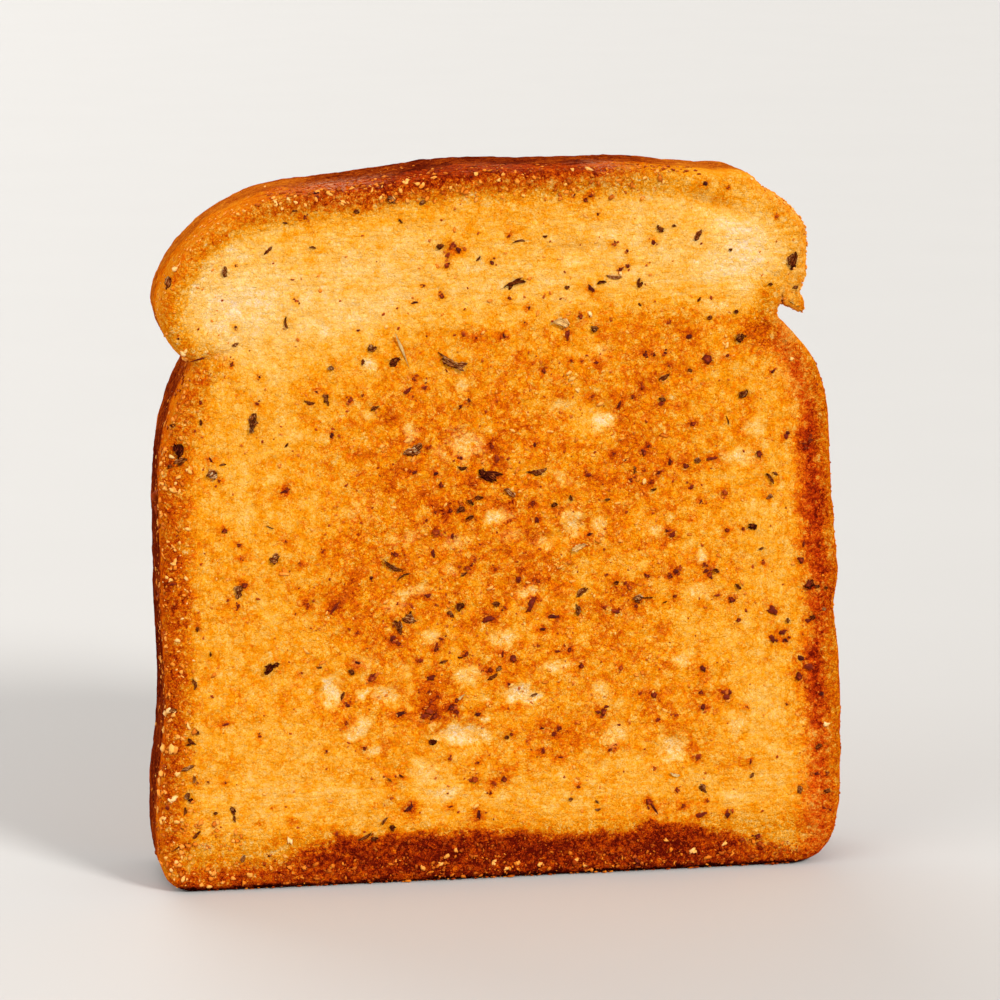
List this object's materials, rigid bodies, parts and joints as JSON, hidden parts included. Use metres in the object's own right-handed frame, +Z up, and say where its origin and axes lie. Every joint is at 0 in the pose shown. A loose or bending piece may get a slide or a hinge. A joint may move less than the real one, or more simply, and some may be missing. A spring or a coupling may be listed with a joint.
{
  "type": "texas toast",
  "caption": "Thick slice of buttered pan toast with a domed crown, browned crumb, dark crust rim and herb flakes, standing upright on its bottom crust.",
  "frame": {"origin": "on the surface the slice stands on, under the middle of its bounding box", "axes": "+Z up from the bottom crust to the crown, -Y out of the browned, herbed face that the picture shows, +X to the right as that face is seen"},
  "size_m": [0.1157, 0.0239, 0.1186],
  "materials": {
    "toast": "golden browned crumb with a thin oily gloss, darker on the crust",
    "herb_flakes": "dry, dark green and brown",
    "brown_specks": "dark red-brown, slightly glossy",
    "golden_crumbs": "toasted, slightly glossy",
    "pale_straws": "dry"
  },
  "bodies": {
    "root": {"toast_slice": "toast"}
  },
  "joints": []
}
